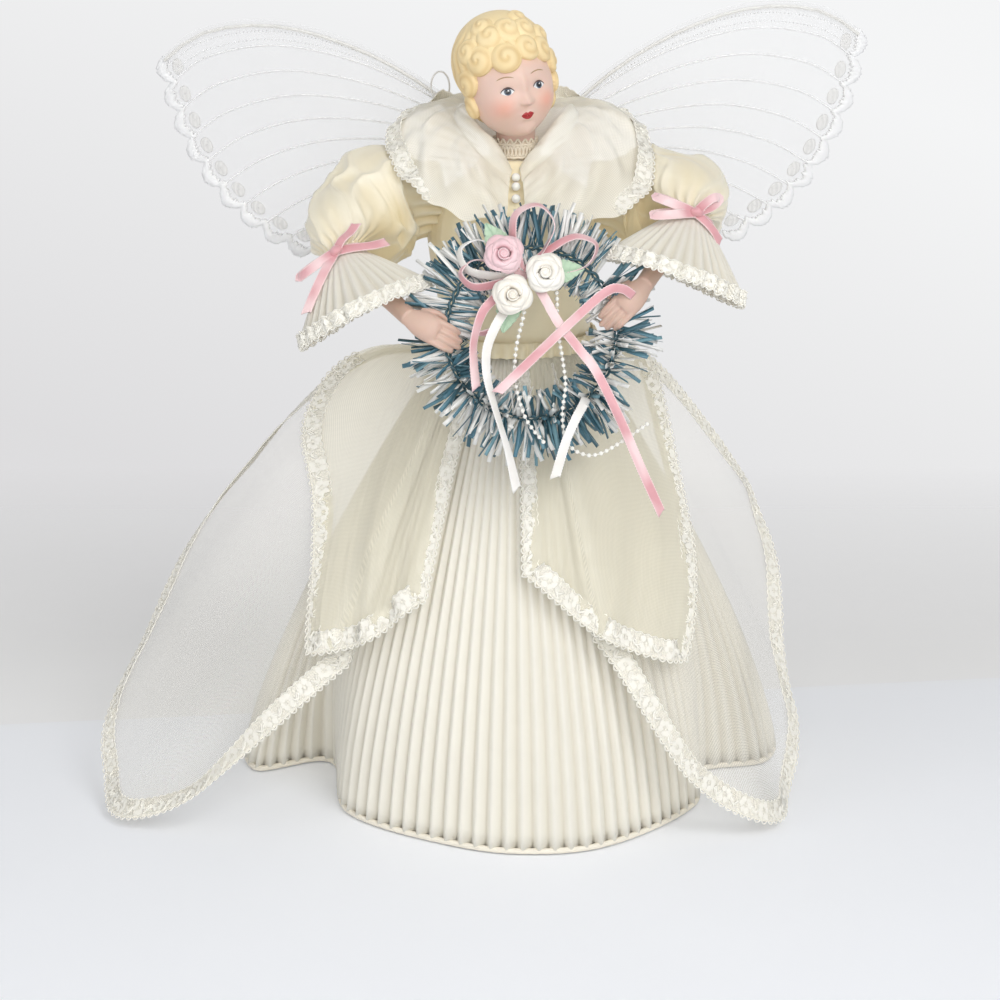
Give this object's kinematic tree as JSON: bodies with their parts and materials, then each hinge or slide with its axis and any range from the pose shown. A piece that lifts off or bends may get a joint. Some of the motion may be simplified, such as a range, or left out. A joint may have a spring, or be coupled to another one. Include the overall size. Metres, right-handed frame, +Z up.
{
  "type": "angel tree topper",
  "caption": "Angel doll in a pleated gown on a hollow cone that sits on a tree's tip, holding a wreath, with bendable wings.",
  "frame": {"origin": "middle of the cone's open mouth, on the surface that the topper stands on", "axes": "+Z up, the doll faces -Y, +X towards the viewer's right"},
  "size_m": [0.2842, 0.1909, 0.2806],
  "materials": {
    "bisque": "matt tinted bisque with painted features",
    "satin": "cream satin",
    "pleated_cloth": "cream pleated cloth",
    "organza": "sheer cream organza",
    "lace": "beige lace",
    "pink_ribbon": "pink satin ribbon",
    "ivory_ribbon": "ivory satin ribbon",
    "pearl": "pearl lacquer",
    "needles": "dark teal and white flat strips",
    "mint_leaf": "mint ribbon cloth",
    "card": "plain card",
    "wood": "turned softwood",
    "wire": "white covered wire"
  },
  "bodies": {
    "doll": {"bisque_head": "bisque", "left_forearm": "bisque", "right_forearm": "bisque", "bodice": "satin", "left_sleeve": "satin", "right_sleeve": "satin", "left_cuff": "satin", "right_cuff": "satin", "hem_binding": "satin", "waist_band": "satin", "wing_tape": "satin", "pleated_skirt": "pleated_cloth", "left_collar": "organza", "right_collar": "organza", "long_left_panel": "organza", "long_right_panel": "organza", "short_left_panel": "organza", "short_right_panel": "organza", "neck_lace_band": "lace", "left_wrist_bow": "pink_ribbon", "right_wrist_bow": "pink_ribbon", "wreath_bow": "pink_ribbon", "pink_rose": "pink_ribbon", "pink_tail_long": "pink_ribbon", "pink_tail_cross": "pink_ribbon", "pink_tail_side": "pink_ribbon", "ivory_rose_upper": "ivory_ribbon", "ivory_rose_lower": "ivory_ribbon", "ivory_tail_long": "ivory_ribbon", "ivory_tail_short": "ivory_ribbon", "pearl_button_1": "pearl", "pearl_button_2": "pearl", "pearl_button_3": "pearl", "pearl_strand_left": "pearl", "pearl_strand_right": "pearl", "garland_arc_1": "needles", "garland_arc_2": "needles", "garland_arc_3": "needles", "garland_arc_4": "needles", "leaf_top": "mint_leaf", "leaf_right": "mint_leaf", "leaf_low": "mint_leaf", "cone_form": "card", "neck_dowel": "wood", "left_arm_wire": "wire", "right_arm_wire": "wire"},
    "left_wing": {"left_wing": "organza", "left_wing_wire": "wire"},
    "right_wing": {"right_wing": "organza", "right_wing_wire": "wire"}
  },
  "joints": [
    {"name": "left_wing_fold", "type": "hinge", "parent": "doll", "child": "left_wing", "pos_m": [-0.009, 0.033, 0.225], "axis": [0, 0, -1], "range_deg": [-8, 60]},
    {"name": "right_wing_fold", "type": "hinge", "parent": "doll", "child": "right_wing", "pos_m": [0.009, 0.033, 0.225], "axis": [0, 0, 1], "range_deg": [-8, 60]}
  ]
}
